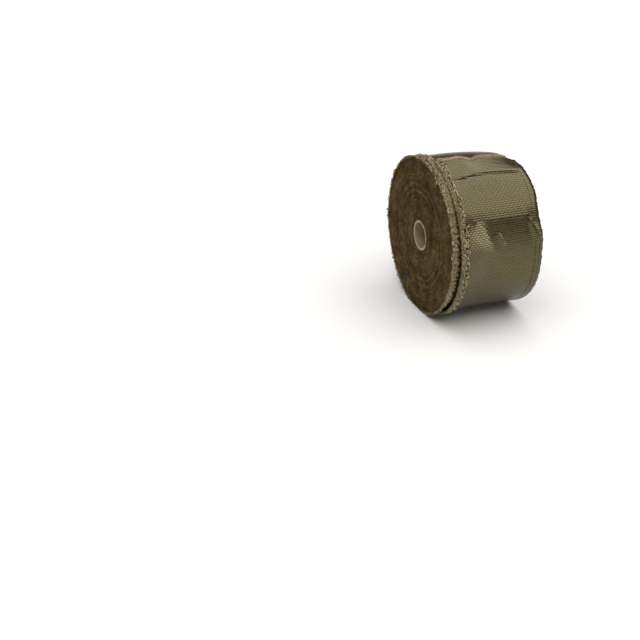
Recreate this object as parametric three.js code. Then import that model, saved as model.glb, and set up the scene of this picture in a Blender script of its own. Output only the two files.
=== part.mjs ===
// A roll of woven basalt tape on a paper core, lying on its side.
// Millimetres, +Z up. The roll's axis runs along X, and the roll rests on the plane z = 0.
// The origin is on that plane, under the middle of the roll's overall length.
// The end at -X is the flat wound face. The last turns were wound off line: they start
// inside that end and stand out past the other one, and they lie slack.
import * as THREE from 'three';

// The tape
const tapeWidth = 100;
const tapeThickness = 0.75;

// The paper core
const coreBore = 30;
const coreWall = 2;
const coreRecess = 1;
const coreClearance = 0.3;

// The winding: turns wound tight and in line, then loose turns that slipped sideways
const tightTurns = 90;
const looseTurns = 2;
const looseTurnPitch = 1.6;
const sideSlip = 9.5;

// The relief of the turns on the two ends: one ridge stands for several turns
const turnsPerRidge = 8;
const grooveDepth = 0.9;
const grooveHalfWidth = 0.8;

// The edges: the tape is thicker along its edges than between them, so the tight turns
// flare at the near end, up to a rim that stands a little below the loose turns
const rimStandBack = 0.3;
const rimWidth = 4;
const flareGrooveWidth = 1;
const rimRound = 1.6;

// The loose turns' outstanding edge bends in a little, and both of their edges are rounded
const curlLength = 14;
const curlDepth = 0.8;
const looseRimRound = 0.9;

// The slack of the roll: over the top it sags towards the far end, and in front the loose
// turns have one long dent. Angles go round from the back, 0, over the top, 90, to the
// front, 180. Each form sets in between its first two angles and fades between the others.
const sagLength = 70;
const sagDepth = 6.5;
const sagAngles = [20, 80, 100, 145];
const dentStart = -22;
const dentLength = 70;
const dentFade = 12;
const dentDepth = 2.8;
const dentAngles = [148, 160, 163, 200];

// How finely the round shapes are cut
const facetsAround = 48;
const roundSteps = 3;
const barrelSteps = 8;
const curlSteps = 4;

const coreOuterRadius = coreBore / 2 + coreWall;
const woundBoreRadius = coreOuterRadius + coreClearance;
const tightRadius = woundBoreRadius + tightTurns * tapeThickness;
const looseThickness = looseTurns * looseTurnPitch;
const rollRadius = tightRadius + looseThickness;
const nearRimRadius = rollRadius - rimStandBack;

const overallLength = tapeWidth + sideSlip;
const tightStart = -overallLength / 2;
const tightEnd = tightStart + tapeWidth;
const looseStart = tightStart + sideSlip;
const looseEnd = looseStart + tapeWidth;

// The faceted roll rests on one flat facet, so the axis is one apothem above the floor.
const facetAngle = (2 * Math.PI) / facetsAround;
const axisHeight = rollRadius * Math.cos(facetAngle / 2);

// Points of a quarter round from one end point to the other, about its own centre.
function quarterRound(centreRadius, centreAxial, size, fromAngle) {
  const points = [];
  for (let step = 0; step <= roundSteps; step++) {
    const angle = fromAngle + ((Math.PI / 2) * step) / roundSteps;
    points.push(new THREE.Vector2(
      centreRadius + size * Math.cos(angle),
      centreAxial + size * Math.sin(angle)
    ));
  }
  return points;
}

// The ridges and grooves of one wound end, from the bore outwards. The inward side of
// the end is +1 where the tape lies at larger axial values, and -1 at the other end.
function turnRidges(endAxial, inward, outerRadius) {
  const ridges = Math.round(tightTurns / turnsPerRidge);
  const ridgePitch = (outerRadius - woundBoreRadius) / ridges;
  const points = [new THREE.Vector2(woundBoreRadius, endAxial)];
  for (let ridge = 1; ridge < ridges; ridge++) {
    const groove = woundBoreRadius + ridge * ridgePitch;
    points.push(new THREE.Vector2(groove - grooveHalfWidth, endAxial));
    points.push(new THREE.Vector2(groove, endAxial + inward * grooveDepth));
    points.push(new THREE.Vector2(groove + grooveHalfWidth, endAxial));
  }
  return points;
}

// How much of a form shows at an angle, from 0 to 1.
function shareAt(angle, angles) {
  const setIn = THREE.MathUtils.smoothstep(angle, angles[0], angles[1]);
  const faded = THREE.MathUtils.smoothstep(angle, angles[2], angles[3]);
  return setIn * (1 - faded);
}

// How far the outside of the roll hangs in from a true round, at a place along and around it.
function slackAt(axial, angle) {
  const sagAlong = Math.max(0, (axial - (looseEnd - sagLength)) / sagLength);
  const sag = sagDepth * sagAlong * sagAlong * shareAt(angle, sagAngles);
  const dentEnd = dentStart + dentLength;
  const dentAlong = THREE.MathUtils.smoothstep(axial, dentStart, dentStart + dentFade)
    * (1 - THREE.MathUtils.smoothstep(axial, dentEnd - dentFade, dentEnd));
  return sag + dentDepth * dentAlong * shareAt(angle, dentAngles);
}

// How far the loose turns' outstanding edge has bent towards the axis.
function curlAt(axial) {
  const along = Math.max(0, (axial - (looseEnd - curlLength)) / curlLength);
  return curlDepth * along * along;
}

// The outside of the loose turns, along the roll to the edge that bends in.
function looseOutside() {
  const points = quarterRound(
    rollRadius - looseRimRound, looseStart + looseRimRound, looseRimRound, -Math.PI / 2
  );
  const barrelStart = looseStart + looseRimRound;
  const barrelLength = looseEnd - curlLength - barrelStart;
  for (let step = 1; step < barrelSteps; step++) {
    points.push(new THREE.Vector2(rollRadius, barrelStart + (barrelLength * step) / barrelSteps));
  }
  for (let step = 0; step < curlSteps; step++) {
    const axial = looseEnd - curlLength + (curlLength * step) / curlSteps;
    points.push(new THREE.Vector2(rollRadius - curlAt(axial), axial));
  }
  points.push(...quarterRound(
    rollRadius - curlDepth - looseRimRound, looseEnd - looseRimRound, looseRimRound, 0
  ));
  return points;
}

// The inside of the outstanding edge, from its end back to the wound face.
function looseInside() {
  const points = [];
  const start = looseEnd;
  const length = looseEnd - tightEnd;
  for (let step = 0; step <= curlSteps; step++) {
    const axial = start - (length * step) / curlSteps;
    points.push(new THREE.Vector2(tightRadius - curlAt(axial), axial));
  }
  return points;
}

// The section of the wound tape: near end, flared rim, groove, outside, outstanding edge
// and far end.
function woundSection() {
  const section = turnRidges(tightStart, 1, nearRimRadius);
  section.push(...quarterRound(
    nearRimRadius - rimRound, tightStart + rimRound, rimRound, -Math.PI / 2
  ));
  section.push(new THREE.Vector2(nearRimRadius, tightStart + rimWidth));
  section.push(new THREE.Vector2(tightRadius, looseStart - flareGrooveWidth));
  section.push(new THREE.Vector2(tightRadius, looseStart));
  section.push(...looseOutside());
  section.push(...looseInside());
  section.push(...turnRidges(tightEnd, -1, tightRadius).reverse());
  section.push(section[0].clone());
  return section;
}

// The section of the core: a plain tube cut square.
function coreSection() {
  const start = tightStart + coreRecess;
  const end = tightEnd - coreRecess;
  const inner = coreBore / 2;
  return [
    new THREE.Vector2(inner, start),
    new THREE.Vector2(coreOuterRadius, start),
    new THREE.Vector2(coreOuterRadius, end),
    new THREE.Vector2(inner, end),
    new THREE.Vector2(inner, start)
  ];
}

// Lets a turned shape hang in by its slack: fully at the roll's outside, not at its bore.
function letSlack(geometry) {
  const places = geometry.attributes.position;
  for (let index = 0; index < places.count; index++) {
    const across = places.getY(index);
    const up = places.getZ(index);
    const radius = Math.hypot(across, up);
    const angle = THREE.MathUtils.radToDeg(Math.atan2(up, across));
    const depth = (radius - woundBoreRadius) / (rollRadius - woundBoreRadius);
    const slack = slackAt(places.getX(index), THREE.MathUtils.euclideanModulo(angle, 360));
    const scale = (radius - slack * Math.max(0, depth)) / radius;
    places.setY(index, across * scale);
    places.setZ(index, up * scale);
  }
}

// A section turned about the roll's axis, with one facet square to the floor.
function turned(name, section, material) {
  const geometry = new THREE.LatheGeometry(section, facetsAround, facetAngle / 2);
  geometry.rotateZ(-Math.PI / 2);
  const mesh = new THREE.Mesh(geometry, material);
  mesh.name = name;
  mesh.position.z = axisHeight;
  return mesh;
}

const basaltCloth = new THREE.MeshStandardMaterial({
  color: 0x6b6246, roughness: 0.6, metalness: 0.0
});
const paleBoard = new THREE.MeshStandardMaterial({
  color: 0xb5ad97, roughness: 0.85, metalness: 0.0
});

const tapeRoll = turned('tape_roll', woundSection(), basaltCloth);
letSlack(tapeRoll.geometry);

const roll = new THREE.Group();
roll.add(tapeRoll);
roll.add(turned('core_tube', coreSection(), paleBoard));

export default roll;
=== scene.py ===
import math

import bpy
import numpy as np
from mathutils import Matrix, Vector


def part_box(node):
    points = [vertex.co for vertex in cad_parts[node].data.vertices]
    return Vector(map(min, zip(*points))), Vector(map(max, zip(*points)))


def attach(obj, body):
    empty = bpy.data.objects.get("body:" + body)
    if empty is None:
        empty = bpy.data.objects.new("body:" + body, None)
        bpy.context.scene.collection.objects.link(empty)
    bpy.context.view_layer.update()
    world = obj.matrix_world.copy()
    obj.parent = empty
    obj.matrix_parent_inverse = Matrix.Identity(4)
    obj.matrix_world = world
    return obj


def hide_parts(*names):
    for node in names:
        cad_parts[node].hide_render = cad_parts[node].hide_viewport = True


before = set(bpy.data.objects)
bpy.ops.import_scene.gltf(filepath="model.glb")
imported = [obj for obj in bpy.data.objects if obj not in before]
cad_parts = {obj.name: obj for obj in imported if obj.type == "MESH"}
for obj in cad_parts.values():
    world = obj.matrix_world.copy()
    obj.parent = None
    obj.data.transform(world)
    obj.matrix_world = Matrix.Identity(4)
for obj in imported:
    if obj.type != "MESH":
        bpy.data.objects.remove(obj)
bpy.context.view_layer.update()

# The camera
# It stands where the photograph was taken from: in front of the roll, to its left and above it,
# so that the near wound end, the whole side and a strip of the top are in view.
mm = 0.001
camera_place = (-744.3 * mm, -1486.4 * mm, 817.7 * mm)
camera_yaw = math.radians(-21.08)
camera_pitch = math.radians(-27.15)
camera_roll = math.radians(1.1)
camera_lens = 90.0

camera_data = bpy.data.cameras.new("camera")
camera_data.lens = camera_lens
camera_data.sensor_width = 36.0
camera_data.clip_end = 100.0
camera = bpy.data.objects.new("camera", camera_data)
camera.matrix_world = (
    Matrix.Translation(camera_place)
    @ Matrix.Rotation(camera_yaw, 4, "Z")
    @ Matrix.Rotation(math.radians(90.0) + camera_pitch, 4, "X")
    @ Matrix.Rotation(camera_roll, 4, "Z")
)
bpy.context.scene.collection.objects.link(camera)
bpy.context.scene.camera = camera

# The paper core
# A thin tube of pale grey-beige paper, wound in a spiral from glued strips and cut square.
# The tape is wound straight onto it, and its rim shows in the middle of each end.
roll_low, roll_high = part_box("tape_roll")
core_low, core_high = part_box("core_tube")
axis_height = (roll_low[2] + roll_high[2]) / 2
core_radius = (core_high[2] - core_low[2]) / 2
core_wall = 2.0 * mm
bore_radius = core_radius - core_wall
core_edge_round = 0.3 * mm
core_facets = 120
paper_ply_width = 22.0 * mm
paper_rim_colour = (0.46, 0.42, 0.31)


def ease(value, start, end):
    """0 before start, 1 after end, and a smooth rise between them."""
    part = np.clip((value - start) / (end - start), 0.0, 1.0)
    return part * part * (3.0 - 2.0 * part)


def around_axis(x, radius, angle):
    """Points round the roll's axis: 90 degrees is the top, 180 the front and 270 the floor."""
    x, radius, angle = np.broadcast_arrays(x, radius, np.radians(angle))
    return np.stack([x, radius * np.cos(angle), axis_height + radius * np.sin(angle)], axis=-1)


def add_mesh(name, vertices, faces, material, places=None):
    """A smooth piece from its vertices and groups of like faces, riding on the root body."""
    mesh = bpy.data.meshes.new(name)
    mesh.vertices.add(len(vertices))
    mesh.vertices.foreach_set("co", np.asarray(vertices, dtype=np.float32).ravel())
    corners = np.concatenate([group.ravel() for group in faces])
    sizes = np.concatenate([np.full(len(group), group.shape[1]) for group in faces])
    mesh.loops.add(len(corners))
    mesh.loops.foreach_set("vertex_index", corners.astype(np.int32))
    mesh.polygons.add(len(sizes))
    starts = np.concatenate([[0], np.cumsum(sizes)[:-1]])
    mesh.polygons.foreach_set("loop_start", starts.astype(np.int32))
    mesh.polygons.foreach_set("use_smooth", np.ones(len(sizes), dtype=bool))
    if places is not None:
        attribute = mesh.attributes.new("yarn_place", "FLOAT_VECTOR", "POINT")
        attribute.data.foreach_set("vector", np.asarray(places, dtype=np.float32).ravel())
    mesh.update(calc_edges=True)
    mesh.materials.append(material)
    piece = bpy.data.objects.new(name, mesh)
    bpy.context.scene.collection.objects.link(piece)
    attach(piece, "root")
    return piece


def ring_faces(count, stations, sides, joined):
    """The faces of count tubes, each of that many stations: joined end to end, or capped."""
    tube = np.arange(count)[:, None, None] * stations * sides
    station = np.arange(stations if joined else stations - 1)[None, :, None]
    side = np.arange(sides)[None, None, :]
    next_station = (station + 1) % stations
    next_side = (side + 1) % sides
    quads = np.stack([
        tube + station * sides + side,
        tube + station * sides + next_side,
        tube + next_station * sides + next_side,
        tube + next_station * sides + side,
    ], axis=-1).reshape(-1, 4)
    if joined:
        return [quads]
    first = np.arange(count)[:, None] * stations * sides + np.arange(sides)[None, ::-1]
    last = (np.arange(count)[:, None] + 1) * stations * sides - sides + np.arange(sides)[None, :]
    return [quads, first, last]


def turned_faces(profile_points, facets):
    """The faces of a ring-shaped piece turned about the axis."""
    return ring_faces(1, profile_points, facets, joined=True)


def add_node(tree, kind, inputs, **settings):
    """A node with its settings, and its inputs set to values or linked from other nodes."""
    made = tree.nodes.new(kind)
    for setting, value in settings.items():
        setattr(made, setting, value)
    for place, value in inputs.items():
        socket = made.inputs[place]
        if isinstance(value, bpy.types.NodeSocket):
            tree.links.new(value, socket)
        else:
            socket.default_value = value
    return made


def start_material(name):
    """An empty material, with its node tree and its shader."""
    material = bpy.data.materials.new(name)
    material.use_nodes = True
    tree = material.node_tree
    tree.nodes.clear()
    shader = tree.nodes.new("ShaderNodeBsdfPrincipled")
    output = tree.nodes.new("ShaderNodeOutputMaterial")
    tree.links.new(shader.outputs["BSDF"], output.inputs["Surface"])
    return material, tree, shader


def colour_steps(tree, factor, steps):
    """A colour that runs through steps, (place, (red, green, blue)), as factor goes from 0 to 1."""
    ramp = add_node(tree, "ShaderNodeValToRGB", {"Fac": factor})
    elements = ramp.color_ramp.elements
    while len(elements) < len(steps):
        elements.new(0.5)
    for element, (place, colour) in zip(elements, steps):
        element.position = place
        element.color = (*colour, 1.0)
    return ramp.outputs["Color"]


def noise(tree, place, scale, detail, roughness=0.5):
    """A soft random pattern from 0 to 1, finer with a larger scale."""
    made = add_node(tree, "ShaderNodeTexNoise", {
        "Vector": place, "Scale": scale, "Detail": detail, "Roughness": roughness,
    })
    return made.outputs["Fac"]


def weighted_sum(tree, start, parts):
    """The sum of start and of each part times its share."""
    total = start
    for part, share in parts:
        added = add_node(tree, "ShaderNodeMath", {
            0: part, 1: share, 2: total,
        }, operation="MULTIPLY_ADD")
        total = added.outputs[0]
    return total


def about_axis(tree, place):
    """A place measured from the roll's axis, and its distance from the axis."""
    centred = add_node(tree, "ShaderNodeVectorMath", {
        0: place, 1: (0.0, 0.0, axis_height),
    }, operation="SUBTRACT")
    flattened = add_node(tree, "ShaderNodeVectorMath", {
        0: centred.outputs[0], 1: (0.0, 1.0, 1.0),
    }, operation="MULTIPLY")
    radius = add_node(tree, "ShaderNodeVectorMath", {0: flattened.outputs[0]}, operation="LENGTH")
    return centred.outputs[0], radius.outputs["Value"]


def dress(tree, shader, colour, relief, strength, distance):
    """Gives a shader its colour, and a fine relief raised by up to distance."""
    bump = add_node(tree, "ShaderNodeBump", {
        "Height": relief, "Strength": strength, "Distance": distance,
    })
    tree.links.new(colour, shader.inputs["Base Color"])
    tree.links.new(bump.outputs["Normal"], shader.inputs["Normal"])


def grey_paper():
    """Pale uncoated paper with short fibres and the faint lines of its spiral plies, and painted shade on
    the wall of the bore.
    """
    material, tree, shader = start_material("grey_paper")
    place = add_node(tree, "ShaderNodeTexCoord", {}).outputs["Object"]
    fibres = noise(tree, place, 900.0, 5.0, 0.6)
    blotches = noise(tree, place, 120.0, 2.0)
    tone = weighted_sum(tree, 0.0, [(fibres, 0.5), (blotches, 0.5)])
    # The wall inside the bore is coloured darker than the pale rim and outside of the same paper: painted
    # shade in the bore.
    bore_shade_colour = colour_steps(tree, tone, [
        (0.35, (0.190, 0.160, 0.092)), (0.5, (0.250, 0.213, 0.126)), (0.65, (0.310, 0.268, 0.165)),
    ])
    radius = about_axis(tree, place)[1]
    at_rim = add_node(tree, "ShaderNodeMapRange", {
        "Value": radius, "From Min": bore_radius + 0.05 * mm, "From Max": bore_radius + core_edge_round,
    })
    colour = add_node(tree, "ShaderNodeMix", {
        "Factor": at_rim.outputs[0], 6: bore_shade_colour, 7: (*paper_rim_colour, 1.0),
    }, data_type="RGBA")
    seams = add_node(tree, "ShaderNodeTexWave", {
        "Vector": place, "Scale": 0.16 / paper_ply_width, "Distortion": 0.0,
    }, bands_direction="X", wave_profile="SAW")
    relief = weighted_sum(tree, fibres, [(seams.outputs["Fac"], 0.4)])
    dress(tree, shader, colour.outputs[2], relief, 0.35, 0.15 * mm)
    shader.inputs["Roughness"].default_value = 0.85
    return material


core_x = []
core_r = []
for corner_x, corner_r, turn_x, turn_r in (
    (core_low[0], bore_radius, 1, 1), (core_low[0], core_radius, 1, -1),
    (core_high[0], core_radius, -1, -1), (core_high[0], bore_radius, -1, 1),
):
    before = (corner_x + turn_x * core_edge_round, corner_r)
    middle = (corner_x + turn_x * 0.3 * core_edge_round, corner_r + turn_r * 0.3 * core_edge_round)
    after = (corner_x, corner_r + turn_r * core_edge_round)
    trio = (before, middle, after)
    if turn_x != turn_r:
        trio = trio[::-1]
    core_x += [point[0] for point in trio]
    core_r += [point[1] for point in trio]
core_angles = np.linspace(0.0, 360.0, core_facets, endpoint=False)
core_points = around_axis(
    np.array(core_x)[:, None], np.array(core_r)[:, None], core_angles[None, :]
)
paper_core = add_mesh(
    "paper_core", core_points.reshape(-1, 3), turned_faces(len(core_x), core_facets), grey_paper()
)
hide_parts("core_tube")

# The tight winding
# About ninety turns of woven basalt tape, wound tight and in line on the core. Each turn shows
# on the two ends as one fine ridge of cut yarn ends. The tape is thickest along its edges.
roll_radius = axis_height
tape_width = 100.0 * mm
tight_start = roll_low[0]
tight_end = tight_start + tape_width
loose_end = roll_high[0]
side_slip = loose_end - tight_end
winding_bore = core_radius + 0.2 * mm
tight_turns = 90
tight_radius = roll_radius - 3.2 * mm
barrel_radius = roll_radius - 5.6 * mm
near_rim_radius = roll_radius + 1.0 * mm
end_set_back = 0.8 * mm
turn_groove_depth = 0.55 * mm
ridge_group_turns = 8
ridge_group_height = 0.25 * mm
body_facets = 150
chance = np.random.default_rng(7)


def wavering(angle, strength, waves, rows=1):
    """A smooth unevenness round the roll, one for each row, from a few waves of random phase."""
    total = np.zeros((rows, len(angle)))
    for wave in waves:
        phase = chance.uniform(0.0, 2.0 * math.pi, (rows, 1))
        share = chance.uniform(0.4, 1.0, (rows, 1))
        total += share * np.sin(wave * np.radians(angle)[None, :] + phase)
    return strength * total / len(waves)


def from_floor(angle):
    """The same angle, counted on from the floor, so that it runs from -90 to 270 degrees."""
    return (angle + 90.0) % 360.0 - 90.0


def top_slope(x, angle):
    """How far the winding stands out over the top: it sags towards the far end."""
    share = ease(angle, 0.0, 62.0) * (1.0 - ease(angle, 96.0, 142.0))
    x = x / mm
    return (1.3 - 0.055 * x - 0.0012 * x**2) * mm * share


def end_profile(outer_radius, steps_per_turn):
    """Radii across a wound end, how deep each is set in a groove, and its turn's number."""
    pitch = (outer_radius - winding_bore) / tight_turns
    turn = np.repeat(np.arange(tight_turns), steps_per_turn)
    step = np.tile(np.arange(steps_per_turn), tight_turns)
    radius = winding_bore + (turn + step / steps_per_turn) * pitch
    groove = np.where(step == 0, turn_groove_depth, 0.0)
    group = 0.5 - 0.5 * np.cos(2.0 * math.pi * (turn + 0.5) / ridge_group_turns)
    return radius, groove + ridge_group_height * (1.0 - group), turn


def basalt_fuzz(name, dark, mid, light):
    """Cut basalt fibre ends: brown, matt and speckled, in faint rings round the axis."""
    material, tree, shader = start_material(name)
    place = add_node(tree, "ShaderNodeTexCoord", {}).outputs["Object"]
    centred, radius = about_axis(tree, place)
    blotches = noise(tree, centred, 55.0, 3.0, 0.6)
    bent_radius = weighted_sum(tree, radius, [(blotches, 2.5 * mm)])
    rings = add_node(tree, "ShaderNodeTexNoise", {
        "W": bent_radius, "Scale": 260.0, "Detail": 3.0, "Roughness": 0.65,
    }, noise_dimensions="1D")
    speckle = noise(tree, centred, 330.0, 4.0, 0.75)
    tone = weighted_sum(tree, 0.0, [(rings.outputs["Fac"], 0.24), (blotches, 0.3), (speckle, 0.46)])
    colour = colour_steps(tree, tone, [(0.40, dark), (0.5, mid), (0.61, light)])
    dress(tree, shader, colour, speckle, 0.8, 0.5 * mm)
    shader.inputs["Roughness"].default_value = 0.75
    shader.inputs["Specular IOR Level"].default_value = 0.2
    shader.inputs["Sheen Weight"].default_value = 0.1
    shader.inputs["Sheen Roughness"].default_value = 0.5
    shader.inputs["Sheen Tint"].default_value = (0.8, 0.6, 0.35, 1.0)
    return material


body_angles = np.linspace(0.0, 360.0, body_facets, endpoint=False)
near_radius, near_depth, near_turn = end_profile(near_rim_radius, 3)
far_radius, far_depth, far_turn = end_profile(tight_radius, 2)
turn_unevenness = wavering(body_angles, 0.5 * mm, (1, 3, 7, 16), tight_turns)
near_x = tight_start + end_set_back + near_depth[:, None] + turn_unevenness[near_turn]
far_x = tight_end - end_set_back - far_depth[:, None] - turn_unevenness[far_turn][:, ::-1]
rim_line = np.array([
    (tight_start + 1.4 * mm, near_rim_radius), (tight_start + 2.6 * mm, near_rim_radius - 0.4 * mm),
    (tight_start + 4.2 * mm, near_rim_radius - 2.0 * mm),
    (tight_start + 6.0 * mm, near_rim_radius - 4.4 * mm),
    (tight_start + 8.5 * mm, barrel_radius), (tight_start + 30.0 * mm, barrel_radius),
    (tight_end - 30.0 * mm, barrel_radius), (tight_end - 12.0 * mm, barrel_radius),
    (tight_end - 5.0 * mm, tight_radius - 0.4 * mm), (tight_end - 1.4 * mm, tight_radius),
])
bore_line = np.array([
    (tight_end - 2.0 * mm, winding_bore), (0.0, winding_bore),
    (tight_start + 2.0 * mm, winding_bore),
])
body_x = np.concatenate([
    near_x, np.repeat(rim_line[:, :1], body_facets, axis=1), far_x[::-1],
    np.repeat(bore_line[:, :1], body_facets, axis=1),
])
body_r = np.concatenate([near_radius, rim_line[:, 1], far_radius[::-1], bore_line[:, 1]])
body_slope = top_slope(body_x, from_floor(body_angles[None, :]))
body_r = body_r[:, None] * (1.0 + body_slope / roll_radius)
body_points = around_axis(body_x, body_r, body_angles[None, :])
body_points[..., 2] = np.maximum(body_points[..., 2], 0.0)
end_fuzz = basalt_fuzz(
    "brown_end_fuzz", (0.022, 0.0135, 0.004), (0.064, 0.041, 0.013), (0.135, 0.090, 0.031)
)
wound_body = add_mesh(
    "wound_body", body_points.reshape(-1, 3), turned_faces(len(body_r), body_facets), end_fuzz
)
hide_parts("tape_roll")

# The brush of cut yarn ends
# Where a weft yarn ends at the tape's edge its fibres stand apart as a small stiff tuft, so the
# wound ends look like a dense brown brush. Along each turn there is a tuft of two or three
# spikes about every 2.5 mm, and the tufts are matted together in clumps.
yarn_pitch = 2.5 * mm
tuft_half_width = 0.34 * mm
tuft_root = 0.7 * mm
tuft_reach = 2.6 * mm
tuft_ring_width = 1.9 * mm
clump_sizes = (2.1, 3.0, 4.6, 7.5)


def end_tufts(name, face_x, facing, outer_radius, spikes_per_yarn, material):
    """Closed three-sided spikes over one wound end; facing is -1 or +1 along the axis."""
    pitch = (outer_radius - winding_bore) / tight_turns
    radii = []
    angles = []
    for turn in range(tight_turns):
        radius = winding_bore + (turn + 0.55) * pitch
        count = int(2.0 * math.pi * radius / yarn_pitch) * spikes_per_yarn
        radii.append(np.full(count, radius))
        angles.append(np.arange(count) * 360.0 / count + chance.uniform(0.0, 360.0))
    radius = np.concatenate(radii)
    angle = np.concatenate(angles)
    count = len(radius)
    degrees_per_length = np.degrees(1.0) / radius
    radius = radius + chance.normal(0.0, 0.22 * mm, count)
    angle = angle + chance.normal(0.0, 0.3 * mm, count) * degrees_per_length
    across_y = radius * np.cos(np.radians(angle)) / mm
    across_z = radius * np.sin(np.radians(angle)) / mm
    clump = np.zeros(count)
    for size in clump_sizes:
        heading = chance.uniform(0.0, 2.0 * math.pi)
        phase = chance.uniform(0.0, 2.0 * math.pi, 2)
        first = across_y * math.cos(heading) + across_z * math.sin(heading)
        second = across_z * math.cos(heading) - across_y * math.sin(heading)
        clump += np.sin(first / size * 2.0 + phase[0]) * np.sin(second / size * 2.0 + phase[1])
    ring = np.sin(radius / tuft_ring_width + 1.7 * np.sin(np.radians(3.0 * angle + 40.0)))
    matted = np.clip(0.42 + 0.28 * clump + 0.14 * ring, 0.0, 1.0)
    reach = tuft_reach * chance.uniform(0.5, 1.0, count) * (0.15 + 0.85 * matted)
    lean_out = chance.normal(0.0, 0.5 * mm, count) + 0.5 * mm * np.sin(across_y / 2.7)
    lean_along = chance.normal(0.3 * mm, 0.5 * mm, count) + 0.5 * mm * np.sin(across_z / 3.1)
    lean_along = lean_along * degrees_per_length
    radius = radius * (1.0 + top_slope(face_x, from_floor(angle)) / roll_radius)
    root = around_axis(face_x - facing * tuft_root, radius, angle)
    tip = around_axis(face_x + facing * reach, radius + lean_out, angle + lean_along)
    size = tuft_half_width * chance.uniform(0.7, 1.4, count)
    vertices = np.empty((count, 4, 3))
    for corner in range(3):
        turn = math.radians(120.0 * corner) * facing
        vertices[:, corner] = root
        vertices[:, corner, 1] += size * math.cos(turn)
        vertices[:, corner, 2] += size * math.sin(turn)
    vertices[:, 3] = tip
    vertices[..., 2] = np.maximum(vertices[..., 2], 0.0)
    first = np.arange(count)[:, None] * 4
    faces = np.concatenate([first + np.array([[s, (s + 1) % 3, 3]]) for s in range(3)])
    roots = first + np.array([[2, 1, 0]])
    return add_mesh(name, vertices.reshape(-1, 3), [faces, roots], material)


tuft_fuzz = basalt_fuzz(
    "brown_tuft_fibre", (0.040, 0.024, 0.007), (0.155, 0.101, 0.033), (0.370, 0.255, 0.098)
)
near_tufts = end_tufts(
    "near_end_tufts", tight_start + end_set_back, -1, near_rim_radius, 3, tuft_fuzz
)
far_tufts = end_tufts("far_end_tufts", tight_end - end_set_back, 1, tight_radius, 2, tuft_fuzz)

# The loose outer turns
# The last turns of the same strip, wound by hand: they slipped towards the far end, lie slack,
# and carry a crease, a sharp ridge with a dent under it, and a few crinkles. The strip's cut
# end lies at the top.
circumference = 2.0 * math.pi * roll_radius
degree_length = circumference / 360.0
cloth_half_thickness = 0.6 * mm
turn_drop = 1.6 * mm
tail_angle = 94.5
far_edge_length = 17.0 * mm
far_edge_pull = 2.2 * mm
far_edge_rise = 1.0 * mm
notch_x = -4.0 * mm
notch_half_width = 6.5 * mm
notch_shift = 4.0
cut_end_waver = 0.5
cut_end_gap = 0.5 * mm
cut_end_lift_length = 14.0 * mm
cut_end_curl = 3.0 * mm
cut_end_curl_length = 6.5 * mm
cut_end_reach = 150.0
corner_droop = 3.5 * mm
crease_angle = 113.3
crease_skew = 3.4
crease_depth = 1.2 * mm
crease_half_width = 1.5 * mm
bulge_height = 0.8 * mm
bulge_offset = 10.0 * mm
bulge_half_width = 8.0 * mm
ridge_angle = 149.5
ridge_height = 0.8 * mm
ridge_length = 9.0 * mm
dent_depth = 2.1 * mm
dent_length = 10.5 * mm
dent_left = -27.0 * mm
dent_right = 34.0 * mm
slack_height = 3.0 * mm
furrow_depth = 2.6 * mm
edge_swell = 2.7 * mm
rim_swell = 2.4 * mm


def slip_at(turn):
    """How far the strip has slipped towards the far end, that many turns from its cut end."""
    return side_slip * (1.0 - ease(turn, 0.62, 1.42))


def strip_centre(turn):
    """Where the strip's middle line lies along the roll, that many turns from its cut end."""
    return tight_start + tape_width / 2 + slip_at(turn)


def cut_end_shift(x):
    """How many degrees the wavy cut end lies past its straight line, towards the front."""
    notch = notch_shift * np.exp(-((x - notch_x) / notch_half_width) ** 2)
    return notch + cut_end_waver * np.sin(x / (7.0 * mm))


def cut_end_lift(x):
    """How high the cut end stands off the turn beneath it."""
    left = 1.0 - ease(x, -16.0 * mm, -6.0 * mm)
    middle = ease(x, -1.0 * mm, 10.0 * mm) * (1.0 - ease(x, 30.0 * mm, 50.0 * mm))
    return cut_end_gap * (1.0 + left + 0.8 * middle)


def crinkle(x, angle, start, end, height, half_width):
    """A low thin fold from start to end, each an (x, angle) place."""
    start_x, start_angle = start
    end_x, end_angle = end
    run_x = end_x - start_x
    run_along = (end_angle - start_angle) * degree_length
    run = math.hypot(run_x, run_along)
    off_x = x - start_x
    off_along = (angle - start_angle) * degree_length
    part = (off_x * run_x + off_along * run_along) / run**2
    aside = (off_x * run_along - off_along * run_x) / run
    ends = ease(part, -0.15, 0.15) * (1.0 - ease(part, 0.85, 1.15))
    return height * ends * np.exp(-(aside / half_width) ** 2)


def far_edge_flare(x, around):
    """The far edge stands out a little in front."""
    at_edge = np.clip((x - loose_end + far_edge_length) / far_edge_length, 0.0, 1.2) ** 2
    in_front = ease(around, 80.0, 108.0) * (1.0 - ease(around, 205.0, 250.0))
    return at_edge * far_edge_rise * in_front


def cut_end_form(x, angle):
    """The stretch before the cut end lifts and curls up, and its far corner droops."""
    from_cut = np.clip((angle - tail_angle) * degree_length, 0.0, None)
    curl = cut_end_curl * (1.0 - 0.35 * ease(x, 10.0 * mm, 42.0 * mm))
    lifted = cut_end_lift(x) * np.exp(-from_cut / cut_end_lift_length)
    lifted = lifted + curl * np.exp(-from_cut / cut_end_curl_length)
    around = from_floor(angle)
    corner = ease(x, 36.0 * mm, 55.0 * mm) * (1.0 - ease(around, tail_angle, 112.0))
    return lifted * (angle < cut_end_reach) - corner_droop * corner * (around > 20.0)


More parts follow.
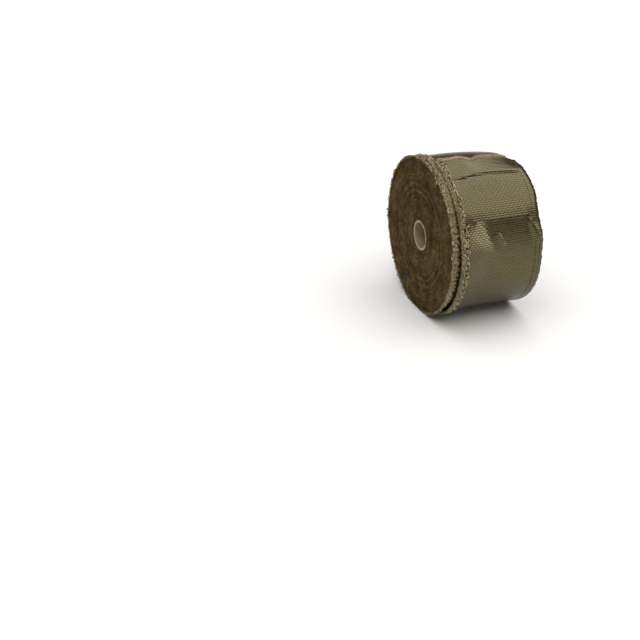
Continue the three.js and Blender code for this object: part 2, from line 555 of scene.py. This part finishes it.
def crease_form(x, angle):
    """A sharp crease along the roll, a little askew, with a soft bulge in front of it."""
    share = ease(x, -43.0 * mm, -22.0 * mm) * (1.0 - ease(x, 36.0 * mm, 50.0 * mm))
    line = crease_angle + crease_skew * (1.0 - ease(x, -40.0 * mm, 4.0 * mm))
    below = (angle - line) * degree_length
    crease = crease_depth * np.exp(-(below / crease_half_width) ** 2)
    bulge = bulge_height * np.exp(-((below - bulge_offset) / bulge_half_width) ** 2)
    return share * (bulge - crease)


def dent_form(x, angle):
    """A ridge along the front, a dent under it, a fold beside the dent and a small one in it."""
    share = ease(x, -30.0 * mm, -22.0 * mm) * (1.0 - ease(x, 38.0 * mm, 44.0 * mm))
    below = (angle - ridge_angle) * degree_length
    ridge = share * ridge_height * np.exp(-np.abs(below) / ridge_length)
    from_left = x - dent_left - (angle - 150.0) * 0.77 * mm
    from_right = x - dent_right - (angle - 150.0) * 0.7 * mm
    inside = ease(from_left, -9.0 * mm, 11.0 * mm) * (1.0 - ease(from_right, -3.0 * mm, 5.0 * mm))
    depth = 1.0 - np.exp(-np.clip(below, 0.0, None) / dent_length)
    depth = depth * (1.0 - ease(angle, 165.0, 200.0))
    folds = crinkle(x, angle, (41.0 * mm, 153.0), (49.0 * mm, 171.0), 1.6 * mm, 3.2 * mm)
    folds = folds + crinkle(x, angle, (0.0, 160.5), (7.5 * mm, 170.5), 1.2 * mm, 1.9 * mm)
    return ridge - dent_depth * depth * inside + folds


def near_edge_form(x, angle):
    """The near edge swells out in front, and hangs slack below that."""
    swell = ease(angle, 118.0, 150.0) * (1.0 - ease(angle, 180.0, 205.0))
    slack = ease(angle, 160.0, 208.0) * (1.0 - ease(angle, 222.0, 258.0))
    swell = edge_swell * swell * (1.0 - ease(x, -42.0 * mm, -8.0 * mm))
    return swell + slack_height * slack * (1.0 - ease(x, -44.0 * mm, -8.0 * mm))


def cloth_relief(x, angle):
    """How far the loose cloth stands out from a true round, at a place on the outermost turn."""
    around = from_floor(angle)
    relief = top_slope(x, around) + far_edge_flare(x, around) + cut_end_form(x, angle)
    return relief + crease_form(x, angle) + dent_form(x, angle) + near_edge_form(x, angle)


def strip_surface(turn, across):
    """Places on the strip: turn counts from the cut end, across from the strip's middle line."""
    turn, across = np.broadcast_arrays(turn, across)
    x = strip_centre(turn) + across
    angle = tail_angle + 360.0 * turn
    pulled_in = ease(angle, 133.0, 146.0) * (1.0 - ease(angle, 152.0, 166.0))
    x = x - far_edge_pull * pulled_in * ease(across, 30.0 * mm, 50.0 * mm)
    relief = cloth_relief(x, angle)
    beneath = np.minimum(cloth_relief(x, angle - 360.0), top_slope(x, angle - 360.0))
    relief = np.where(turn > 1.0, beneath, relief)
    angle = angle + cut_end_shift(x) * (1.0 - ease(turn, 0.0, 0.05))
    drop = turn_drop * (ease(turn, 0.55, 1.0) + ease(turn, 1.5, 2.0))
    from_near_edge = across + tape_width / 2
    at_near_edge = 1.0 - ease(from_near_edge, 4.5 * mm, 9.5 * mm)
    drop = drop - at_near_edge * (0.5 * drop + rim_swell * ease(turn, 1.2, 1.55))
    drop = drop + furrow_depth * ease(turn, 1.25, 1.42) * ease(from_near_edge, 2.5 * mm, 5.5 * mm)
    radius = roll_radius - cloth_half_thickness - drop + relief
    return around_axis(x, radius, angle)


def strip_place(turn, across, lift):
    """A place on the strip, raised by lift, and the way that the cloth faces there."""
    step = 0.4 * mm
    turn_step = step / circumference
    here = strip_surface(turn, across)
    along = strip_surface(turn + turn_step, across) - strip_surface(turn - turn_step, across)
    sideways = strip_surface(turn, across + step) - strip_surface(turn, across - step)
    facing = np.cross(along, sideways)
    facing = facing / np.linalg.norm(facing, axis=-1, keepdims=True)
    return here + facing * np.broadcast_to(lift, here.shape[:-1])[..., None], facing


def yarn_points(centre, facing, half_width, half_thickness, sides):
    """The rings of points of flat-topped yarns, and each point's place on its yarn."""
    along = np.gradient(centre, axis=1)
    along = along / np.linalg.norm(along, axis=-1, keepdims=True)
    across = np.cross(facing, along)
    across = across / np.linalg.norm(across, axis=-1, keepdims=True)
    outward = np.cross(along, across)
    count, stations = centre.shape[:2]
    half_width = np.broadcast_to(half_width, (count, stations))[:, :, None, None]
    half_thickness = np.broadcast_to(half_thickness, (count, stations))[:, :, None, None]
    turn = 2.0 * math.pi * (np.arange(sides) / sides - (0.25 if sides % 4 == 0 else 0.0))
    broad = np.sign(np.cos(turn)) * np.sqrt(np.abs(np.cos(turn)))
    points = centre[:, :, None, :] + (
        across[:, :, None, :] * broad[None, None, :, None] * half_width
        + outward[:, :, None, :] * np.sin(turn)[None, None, :, None] * half_thickness
    )
    lengths = np.linalg.norm(np.diff(centre, axis=1), axis=-1) / mm
    run = np.concatenate([np.zeros((count, 1)), np.cumsum(lengths, axis=1)], axis=1)
    number = chance.uniform(0.0, 100.0, (count, 1, 1))
    places = np.stack(np.broadcast_arrays(
        run[:, :, None], np.arange(sides)[None, None, :] / sides, number
    ), axis=-1)
    return points, places


def add_yarns(name, centre, facing, half_width, half_thickness, sides, material):
    """A piece of many like yarns, each a closed tube along one row of centre."""
    points, places = yarn_points(centre, facing, half_width, half_thickness, sides)
    points[..., 2] = np.maximum(points[..., 2], 0.05 * mm)
    count, stations = centre.shape[:2]
    faces = ring_faces(count, stations, sides, joined=False)
    piece = add_mesh(name, points.reshape(-1, 3), faces, material, places.reshape(-1, 3))
    return piece


def basalt_yarn(name, dark, mid, light, roughness, gloss):
    """A yarn of basalt filaments: brown glass fibres along the yarn, with a yellowish gloss."""
    material, tree, shader = start_material(name)
    place = add_node(tree, "ShaderNodeAttribute", {}, attribute_name="yarn_place").outputs["Vector"]
    stretched = add_node(tree, "ShaderNodeVectorMath", {
        0: place, 1: (0.12, 9.0, 3.7),
    }, operation="MULTIPLY")
    filaments = noise(tree, stretched.outputs[0], 1.0, 4.0, 0.65)
    parts = add_node(tree, "ShaderNodeSeparateXYZ", {"Vector": place})
    yarn_tone = add_node(tree, "ShaderNodeTexWhiteNoise", {
        "W": parts.outputs["Z"],
    }, noise_dimensions="1D")
    room = add_node(tree, "ShaderNodeTexCoord", {}).outputs["Object"]
    patches = noise(tree, room, 45.0, 2.0)
    tone = weighted_sum(tree, 0.06, [
        (yarn_tone.outputs["Value"], 0.16), (patches, 0.2), (filaments, 0.5),
    ])
    colour = colour_steps(tree, tone, [(0.34, dark), (0.5, mid), (0.66, light)])
    roughness_here = weighted_sum(tree, roughness - 0.1, [(filaments, 0.2)])
    dress(tree, shader, colour, filaments, 0.4, 0.02 * mm)
    tree.links.new(roughness_here, shader.inputs["Roughness"])
    shader.inputs["IOR"].default_value = 1.6
    shader.inputs["Specular IOR Level"].default_value = gloss
    shader.inputs["Specular Tint"].default_value = (1.0, 0.93, 0.5, 1.0)
    return material


turns_shown = 1.015
weft_count = int(turns_shown * circumference / yarn_pitch)
weft_half_width = 1.27 * mm
weft_half_thickness = 0.08 * mm
weft_wave = 0.04 * mm
pair_pull = 0.75 * mm
holes_across = -43.2 * mm
warp_count = 32
field_start = -41.25 * mm
field_width = warp_count * yarn_pitch
warp_half_width = 0.34 * mm
warp_half_thickness = 0.05 * mm
warp_wave = 0.09 * mm
olive_yarn = basalt_yarn(
    "olive_basalt_yarn", (0.015, 0.0095, 0.0034), (0.027, 0.0174, 0.0066), (0.045, 0.031, 0.0130),
    roughness=0.18, gloss=0.88,
)

weft_number = np.arange(weft_count)
weft_turn = ((weft_number + 1.5) * yarn_pitch / circumference)[:, None]
field_steps = field_start + np.arange(2 * warp_count + 1) * yarn_pitch / 2
far_steps = field_start + field_width + np.array([2.5, 6.5, 10.4]) * mm
near_steps = np.array([-46.4, -45.4, -44.4, -43.2, -42.1]) * mm
weft_across = np.concatenate([near_steps, field_steps, far_steps])[None, :]
weft_ends = chance.uniform(-1.0, 1.0, (2, weft_count)) * mm
near_ends = 0.8 * weft_ends[0][:, None]
far_ends = 0.4 * weft_ends[1][:, None]
weft_across = weft_across + np.where(weft_across < near_steps[1], near_ends, 0.0)
weft_across = weft_across + np.where(weft_across > far_steps[1], far_ends, 0.0)
from_field_start = weft_across - field_start
in_field = (from_field_start > -0.1 * mm) & (from_field_start < field_width + 0.1 * mm)
crossing = np.cos(math.pi * (from_field_start / yarn_pitch - 0.5 + weft_number[:, None]))
weft_lift = np.where(in_field, weft_wave * crossing, 0.0)
at_holes = np.exp(-((weft_across - holes_across) / (1.5 * mm)) ** 2)
pull = pair_pull * at_holes * np.where(weft_number % 2 == 0, 1.0, -1.0)[:, None]
weft_centre, weft_facing = strip_place(weft_turn + pull / circumference, weft_across, weft_lift)
weft_width = weft_half_width * (1.0 - 0.5 * at_holes)
weft = add_yarns(
    "outer_turn_weft", weft_centre, weft_facing, weft_width, weft_half_thickness, 6, olive_yarn
)

warp_number = np.arange(warp_count)
warp_across = (field_start + (warp_number + 0.5) * yarn_pitch)[:, None]
warp_steps = np.arange(-2, 2 * weft_count + 1) / 2
warp_turn = ((warp_steps + 1.5) * yarn_pitch / circumference)[None, :]
warp_lift = -warp_wave * np.cos(math.pi * (warp_steps[None, :] + warp_number[:, None]))
warp_centre, warp_facing = strip_place(warp_turn, warp_across, warp_lift)
warp = add_yarns(
    "outer_turn_warp", warp_centre, warp_facing, warp_half_width, warp_half_thickness, 4, olive_yarn
)

# The turn beneath
# The same strip goes on under its own cut end. Its near edge shows beside the outermost turn's,
# because it has slipped less, and it slopes down there to the tight winding.
beneath_start = 0.985
beneath_end = 1.6
beneath_half_thickness = 0.3 * mm
beneath_columns = 26
rib_steps = np.array([0.0, 0.16, 0.5, 0.84])
beneath_ribs = int((beneath_end - beneath_start) * circumference / yarn_pitch)
rib_place = (np.arange(beneath_ribs)[:, None] + rib_steps[None, :]).ravel()
rib_height = 0.22 * mm * np.sqrt(np.abs(np.sin(math.pi * rib_place)))
beneath_turn = (beneath_start + rib_place * yarn_pitch / circumference)[:, None]
beneath_across = np.linspace(-0.46 * tape_width, 0.48 * tape_width, beneath_columns)
loop_across = np.concatenate([beneath_across, beneath_across[::-1]])[None, :]
upper_side = np.concatenate([np.ones(beneath_columns), -np.ones(beneath_columns)])[None, :]
beneath_lift = (beneath_half_thickness + rib_height[:, None]) * upper_side - 0.3 * mm
beneath_points = strip_place(beneath_turn, loop_across, beneath_lift)[0]
beneath_faces = ring_faces(1, len(rib_place), 2 * beneath_columns, joined=False)
beneath_places = np.stack(np.broadcast_arrays(
    (loop_across + tape_width) / mm, rib_place[:, None] % 1.0, np.floor(rib_place)[:, None]
), axis=-1)
turn_beneath = add_mesh(
    "turn_beneath", beneath_points.reshape(-1, 3), beneath_faces, olive_yarn,
    beneath_places.reshape(-1, 3),
)

# The edges of the tape
# The weft's cut ends fray past the last warp, and thinner, glossier threads are stitched round
# and over them to lock the edge. On the near side they are rough, with knots and loose loops.
edge_start = -tape_width / 2
fray_strands = 5
cut_end_strand_count = 520
stitch_pitch = 2.0 * yarn_pitch
# The edge threads are partly a paler yarn than the cloth and partly painted highlight: their light colour
# stands in for the bright glints on the stitches and knots.
pale_highlight_thread = basalt_yarn(
    "pale_thread_painted_highlight", (0.075, 0.056, 0.026), (0.265, 0.218, 0.122), (0.540, 0.470, 0.310),
    roughness=0.26, gloss=0.9,
)
frayed_yarn = basalt_yarn(
    "frayed_weft_ends", (0.030, 0.020, 0.008), (0.070, 0.050, 0.022), (0.140, 0.106, 0.052),
    roughness=0.36, gloss=0.6,
)


def frayed_ends(name, first_turn, last_turn, inner, outer, rise, material):
    """Thin strands that fan out from each weft's end, from inner to outer across the strip."""
    wefts = int((last_turn - first_turn) * circumference / yarn_pitch)
    count = wefts * fray_strands
    weft = np.repeat(np.arange(wefts), fray_strands)
    spread = np.tile(np.linspace(-0.9, 0.9, fray_strands), wefts) * mm
    part = np.linspace(0.0, 1.0, 6)[None, :]
    tip = outer + chance.normal(0.0, 0.9 * mm, count)
    across = inner + (tip[:, None] - inner) * part
    along = weft[:, None] * yarn_pitch + spread[:, None] * (0.8 + 0.4 * part)
    along = along + chance.normal(0.0, 0.9 * mm, count)[:, None] * part**2
    along = along + chance.normal(0.0, 0.35 * mm, (count, 1)) * np.sin(math.pi * 2.0 * part)
    lift = chance.normal(0.25 * mm, 0.4 * mm, count)[:, None] * np.sin(math.pi * part)
    lift = lift + (rise * chance.uniform(-0.3, 1.0, count))[:, None] * part**2
    turn = first_turn + along / circumference
    centre, facing = strip_place(turn, across, lift)
    thickness = 0.26 * mm * (1.0 - 0.75 * part**2) * chance.uniform(0.7, 1.3, (count, 1))
    return add_yarns(name, centre, facing, thickness, thickness * 0.8, 3, material)


def stitch_threads(name, first_turn, last_turn, lines, half_width, material):
    """Threads that run along the strip, each swaying about its line and over and under the weft."""
    length = (last_turn - first_turn) * circumference
    run = np.linspace(0.0, length, int(length / (0.95 * mm)))[None, :]
    count = len(lines)
    line = np.array([place for place, sway, shift in lines])[:, None]
    sway = np.array([sway for place, sway, shift in lines])[:, None]
    shift = np.array([shift for place, sway, shift in lines])[:, None]
    step = 2.0 * math.pi * (run / stitch_pitch + shift)
    part = run[0] / length * 360.0
    wander = wavering(part * (last_turn - first_turn), 0.5 * mm, (3, 8, 17, 41), count)
    across = line + sway * np.sin(step) + wander
    unevenness = wavering(part, 0.35 * mm, (11, 29, 53), count)
    bob = 0.5 * mm + 0.5 * mm * np.cos(step) + unevenness
    turn = first_turn + run / circumference
    centre, facing = strip_place(turn, across, bob)
    thick = half_width * (1.0 + 0.35 * np.sin(step + 2.0 * math.pi * shift))
    return add_yarns(name, centre, facing, thick, 0.7 * thick, 4, material)


def stitch_knots(name, first_turn, last_turn, columns, size, half_width, material):
    """Small stand-up loops of thread where each stitch is pulled over the weft."""
    per_column = int((last_turn - first_turn) * circumference / stitch_pitch)
    count = per_column * len(columns)
    column = np.repeat(np.array(columns), per_column)
    place = np.tile(np.arange(per_column), len(columns)) * stitch_pitch
    place = place + chance.normal(0.0, 0.25 * stitch_pitch, count)
    column = column + chance.normal(0.0, 0.7 * mm, count)
    heading = chance.normal(0.5 * math.pi, 0.5, count)[:, None]
    radius = size * chance.uniform(0.6, 1.25, count)[:, None]
    sweep = np.linspace(-0.15 * math.pi, 1.15 * math.pi, 10)[None, :]
    off = radius * np.cos(sweep)
    rise = radius * chance.uniform(0.7, 1.25, (count, 1)) * np.sin(sweep) + 0.15 * mm
    lean = 0.4 * rise * chance.normal(0.0, 1.0, (count, 1))
    across = column[:, None] + off * np.cos(heading) + lean
    along = place[:, None] + off * np.sin(heading)
    turn = first_turn + along / circumference
    centre, facing = strip_place(turn, across, rise)
    thick = half_width * chance.uniform(0.7, 1.3, (count, 1)) * np.ones_like(off)
    return add_yarns(name, centre, facing, thick, 0.75 * thick, 5, material)


def cut_end_strands(name, material):
    """The warp's cut ends, which stand past the last weft at the strip's cut end."""
    count = cut_end_strand_count
    across = np.linspace(edge_start + 4.0 * mm, -edge_start - 12.0 * mm, count)
    across = (across + chance.normal(0.0, 0.3 * mm, count))[:, None]
    part = np.linspace(0.0, 1.0, 5)[None, :]
    along = 3.4 * mm - (chance.uniform(3.2, 4.8, count) * mm)[:, None] * part
    across = across + chance.normal(0.0, 0.7 * mm, (count, 1)) * part**2
    lift = 0.2 * mm + (chance.uniform(-0.8, 0.3, count) * mm)[:, None] * part**2
    centre, facing = strip_place(along / circumference, across, lift)
    thickness = 0.27 * mm * (1.0 - 0.7 * part**2) * chance.uniform(0.7, 1.3, (count, 1))
    return add_yarns(name, centre, facing, thickness, thickness * 0.8, 3, material)


near_fringe = frayed_ends(
    "near_edge_fringe", 0.004, turns_shown, edge_start + 3.0 * mm, edge_start - 0.4 * mm, 0.9 * mm,
    frayed_yarn,
)
near_band = [
    (edge_start + 3.9 * mm, 0.95 * mm, 0.0), (edge_start + 3.9 * mm, 0.95 * mm, 0.5),
    (edge_start + 1.4 * mm, 0.85 * mm, 0.3), (edge_start + 1.4 * mm, 0.85 * mm, 0.8),
]
near_stitches = stitch_threads(
    "near_edge_stitches", 0.004, turns_shown, near_band, 0.46 * mm, pale_highlight_thread
)
near_knots = stitch_knots(
    "near_edge_knots", 0.006, 1.0, [-47.6 * mm, -45.8 * mm, -44.2 * mm, -42.9 * mm, -41.9 * mm],
    1.7 * mm, 0.6 * mm, pale_highlight_thread,
)
beneath_fringe = frayed_ends(
    "beneath_edge_fringe", beneath_start, 1.55, edge_start + 4.0 * mm, edge_start - 0.2 * mm,
    0.8 * mm, frayed_yarn,
)
beneath_stitches = stitch_threads(
    "beneath_edge_stitches", beneath_start, 1.55, near_band, 0.44 * mm, pale_highlight_thread
)
beneath_knots = stitch_knots(
    "beneath_edge_knots", 0.986, 1.36,
    [edge_start + 1.6 * mm, edge_start + 3.6 * mm, edge_start + 6.2 * mm],
    1.4 * mm, 0.5 * mm, pale_highlight_thread,
)
rim_fringe = frayed_ends(
    "tight_rim_fringe", 1.55, 2.55, edge_start + 3.0 * mm, edge_start - 0.2 * mm, 2.2 * mm,
    frayed_yarn,
)
rim_stitches = stitch_threads(
    "tight_rim_stitches", 1.55, 2.55, near_band[2:], 0.5 * mm, pale_highlight_thread
)
rim_knots = stitch_knots(
    "tight_rim_knots", 1.56, 2.54,
    [edge_start + 3.2 * mm, edge_start + 2.0 * mm, edge_start + 0.8 * mm],
    1.5 * mm, 0.6 * mm, pale_highlight_thread,
)
# The warp's cut ends take the pale edge-thread colour instead of the olive of the warp: painted highlight
# for the light band along the cut end.
cut_fringe = cut_end_strands("cut_end_fringe", pale_highlight_thread)
far_stitches = stitch_threads("far_edge_stitches", 0.004, turns_shown, [
    (0.5 * tape_width - 8.6 * mm, 0.3 * mm, 0.0), (0.5 * tape_width - 3.6 * mm, 0.3 * mm, 0.5),
], 0.22 * mm, olive_yarn)

# The floor and the lights
# A plain pale floor under a wide soft light overhead, as in a small studio. The light stops well
# above the horizon, so the front of the roll falls off in tone, and a small soft light low on
# the right picks out the folds.
floor_size = 14.0
bpy.ops.mesh.primitive_plane_add(size=floor_size, location=(0.0, 0.0, 0.0))
floor = bpy.context.active_object
floor.name = "floor"
pale_floor, floor_tree, floor_shader = start_material("pale_floor")
floor_place = add_node(floor_tree, "ShaderNodeTexCoord", {}).outputs["Object"]
floor_colour = colour_steps(floor_tree, noise(floor_tree, floor_place, 3.0, 3.0), [
    (0.3, (0.82, 0.82, 0.81)), (0.7, (0.86, 0.86, 0.85)),
])
floor_tree.links.new(floor_colour, floor_shader.inputs["Base Color"])
floor_shader.inputs["Roughness"].default_value = 0.9
floor_shader.inputs["Specular IOR Level"].default_value = 0.1
floor.data.materials.append(pale_floor)

overhead_heading = (0.035, -0.043, 0.998)
overhead_reach = (47.0, 52.5)
overhead_strength = 2.2
surround_strength = 0.06
side_heading = (0.695, -0.705, 0.141)
side_reach = (9.0, 13.0)
side_strength = 3.4

sky = bpy.data.worlds.new("studio")
bpy.context.scene.world = sky
sky.use_nodes = True
sky_tree = sky.node_tree
sky_background = sky_tree.nodes["Background"]
sky_place = add_node(sky_tree, "ShaderNodeTexCoord", {}).outputs["Generated"]


def round_light(heading, reach, faint, strength):
    """A round light: full strength within the first angle of reach, and faint past the second."""
    facing = add_node(sky_tree, "ShaderNodeVectorMath", {0: sky_place, 1: heading}, operation="DOT_PRODUCT")
    light = add_node(sky_tree, "ShaderNodeMapRange", {
        "Value": facing.outputs["Value"],
        "From Min": math.cos(math.radians(reach[1])), "From Max": math.cos(math.radians(reach[0])),
        "To Min": faint, "To Max": strength,
    }, interpolation_type="SMOOTHSTEP")
    return light.outputs[0]


both_lights = add_node(sky_tree, "ShaderNodeMath", {
    0: round_light(overhead_heading, overhead_reach, surround_strength, overhead_strength),
    1: round_light(side_heading, side_reach, 0.0, side_strength),
}, operation="ADD")
sky_tree.links.new(both_lights.outputs[0], sky_background.inputs["Strength"])
sky_background.inputs["Color"].default_value = (1.0, 0.99, 0.97, 1.0)
bpy.context.scene.view_settings.view_transform = "Standard"
